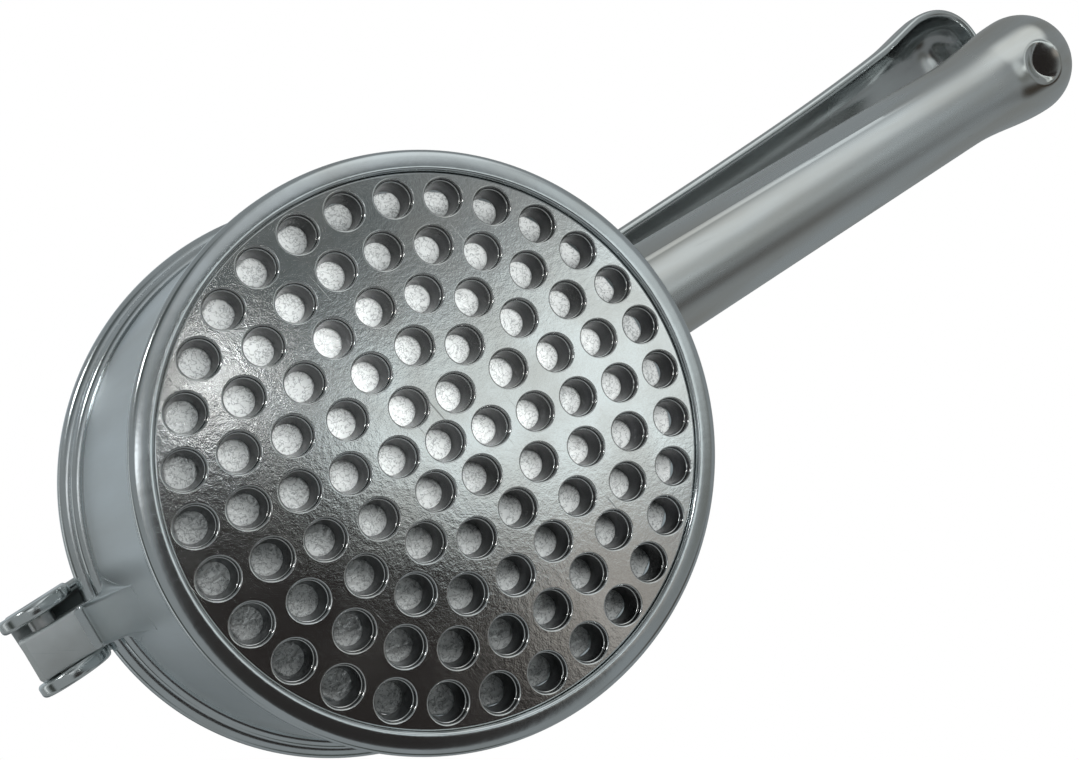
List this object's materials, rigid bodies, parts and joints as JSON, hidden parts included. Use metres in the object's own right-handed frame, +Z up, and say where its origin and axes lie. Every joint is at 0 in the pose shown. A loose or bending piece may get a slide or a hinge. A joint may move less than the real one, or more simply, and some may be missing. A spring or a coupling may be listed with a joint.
{
  "type": "passatelli press",
  "caption": "Hand press with a tapered round cup, a perforated bottom disc, a fixed half-round handle and a hinged channel lever that drives a plunger down the cup.",
  "frame": {"origin": "centre of the bottom rim's lower face, on the cup's axis", "axes": "+Z up along the cup's axis with the perforated disc at the bottom, +X along the fixed handle away from the hinge"},
  "size_m": [0.2557, 0.1004, 0.0851],
  "materials": {
    "cup_metal": "satin casting with a bright plated look",
    "disc_metal": "bright polished, finely pitted",
    "lever_metal": "bright outside and edge, glossy channel",
    "plunger_metal": "rough as cast",
    "pin_steel": "plain drawn steel"
  },
  "bodies": {
    "press_body": {"cup": "cup_metal", "perforated_disc": "disc_metal"},
    "lever_arm": {"lever": "lever_metal", "hinge_pin": "pin_steel"},
    "presser": {"plunger": "plunger_metal", "plunger_pin": "pin_steel"}
  },
  "joints": [
    {"name": "lever_hinge", "type": "hinge", "parent": "press_body", "child": "lever_arm", "pos_m": [-0.0566, 0, 0.0595], "axis": [-0.0419, -0.9991, 0], "range_deg": [0, 58]},
    {"name": "plunger_pivot", "type": "hinge", "parent": "lever_arm", "child": "presser", "pos_m": [0, 0, 0.0388], "axis": [-0.0419, -0.9991, 0], "range_deg": [-58, 0]}
  ],
  "couplings": [
    {"joint": "plunger_pivot", "follows": "lever_hinge", "ratio": -1}
  ]
}
